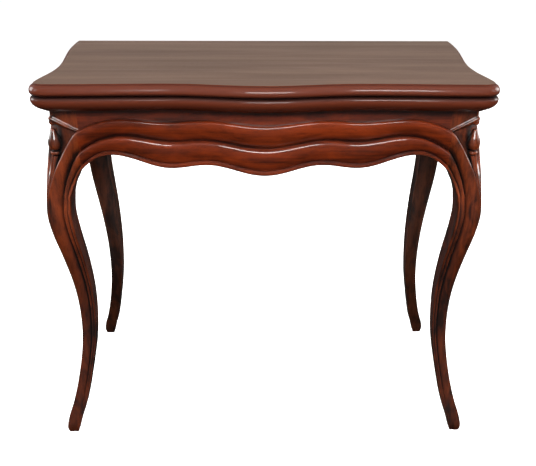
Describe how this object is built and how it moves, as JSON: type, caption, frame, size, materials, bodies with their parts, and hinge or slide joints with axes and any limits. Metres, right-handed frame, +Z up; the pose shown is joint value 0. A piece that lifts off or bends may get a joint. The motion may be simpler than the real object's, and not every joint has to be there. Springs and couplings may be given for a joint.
{
  "type": "fold over card table",
  "caption": "Serpentine fold-over card table with a swivelling top, moulded rails, a card well and tall cabriole legs with carved knees.",
  "frame": {"origin": "on the floor under the middle of the closed top", "axes": "+X along the table's length to the right, +Y from the front to the fold line at the back, +Z up"},
  "size_m": [0.8532, 0.478, 0.75],
  "materials": {
    "top_mahogany": "polished mahogany, faded grey-brown on the flat and red-brown on the edge",
    "frame_mahogany": "polished red-brown mahogany, dark in the hollows",
    "inner_wood": "plain unpolished wood",
    "brass": "old dull brass",
    "iron": "dark wrought iron",
    "green_cloth": "green wool baize"
  },
  "bodies": {
    "frame": {"pivot_bush": "brass", "pivot_bearer": "inner_wood", "front_rail": "frame_mahogany", "back_rail": "frame_mahogany", "left_rail": "frame_mahogany", "right_rail": "frame_mahogany", "front_left_leg": "frame_mahogany", "front_right_leg": "frame_mahogany", "back_left_leg": "frame_mahogany", "back_right_leg": "frame_mahogany", "front_left_block": "inner_wood", "front_right_block": "inner_wood", "back_left_block": "inner_wood", "back_right_block": "inner_wood", "well_floor": "inner_wood", "well_divider": "inner_wood", "front_ledger": "inner_wood", "back_ledger": "inner_wood", "left_ledger": "inner_wood", "glide_slips": "green_cloth"},
    "lower_top": {"lower_leaf": "top_mahogany", "lower_baize": "green_cloth", "lower_left_hinge": "brass", "lower_right_hinge": "brass", "lower_hinge_screws": "brass", "hinge_pins": "brass", "pivot_plate": "iron", "pivot_screws": "iron", "pivot_bolt": "iron", "pivot_washer": "iron", "pivot_nut": "iron", "stop_peg": "inner_wood"},
    "upper_top": {"upper_leaf": "top_mahogany", "upper_baize": "green_cloth", "upper_left_hinge": "brass", "upper_right_hinge": "brass", "upper_hinge_screws": "brass"}
  },
  "joints": [
    {"name": "top_swivel", "type": "hinge", "parent": "frame", "child": "lower_top", "pos_m": [0.118, 0.118, 0.7], "axis": [0, 0, 1], "range_deg": [0, 90]},
    {"name": "leaf_fold", "type": "hinge", "parent": "lower_top", "child": "upper_top", "pos_m": [0, 0.236, 0.729], "axis": [-1, 0, 0], "range_deg": [0, 180]}
  ]
}
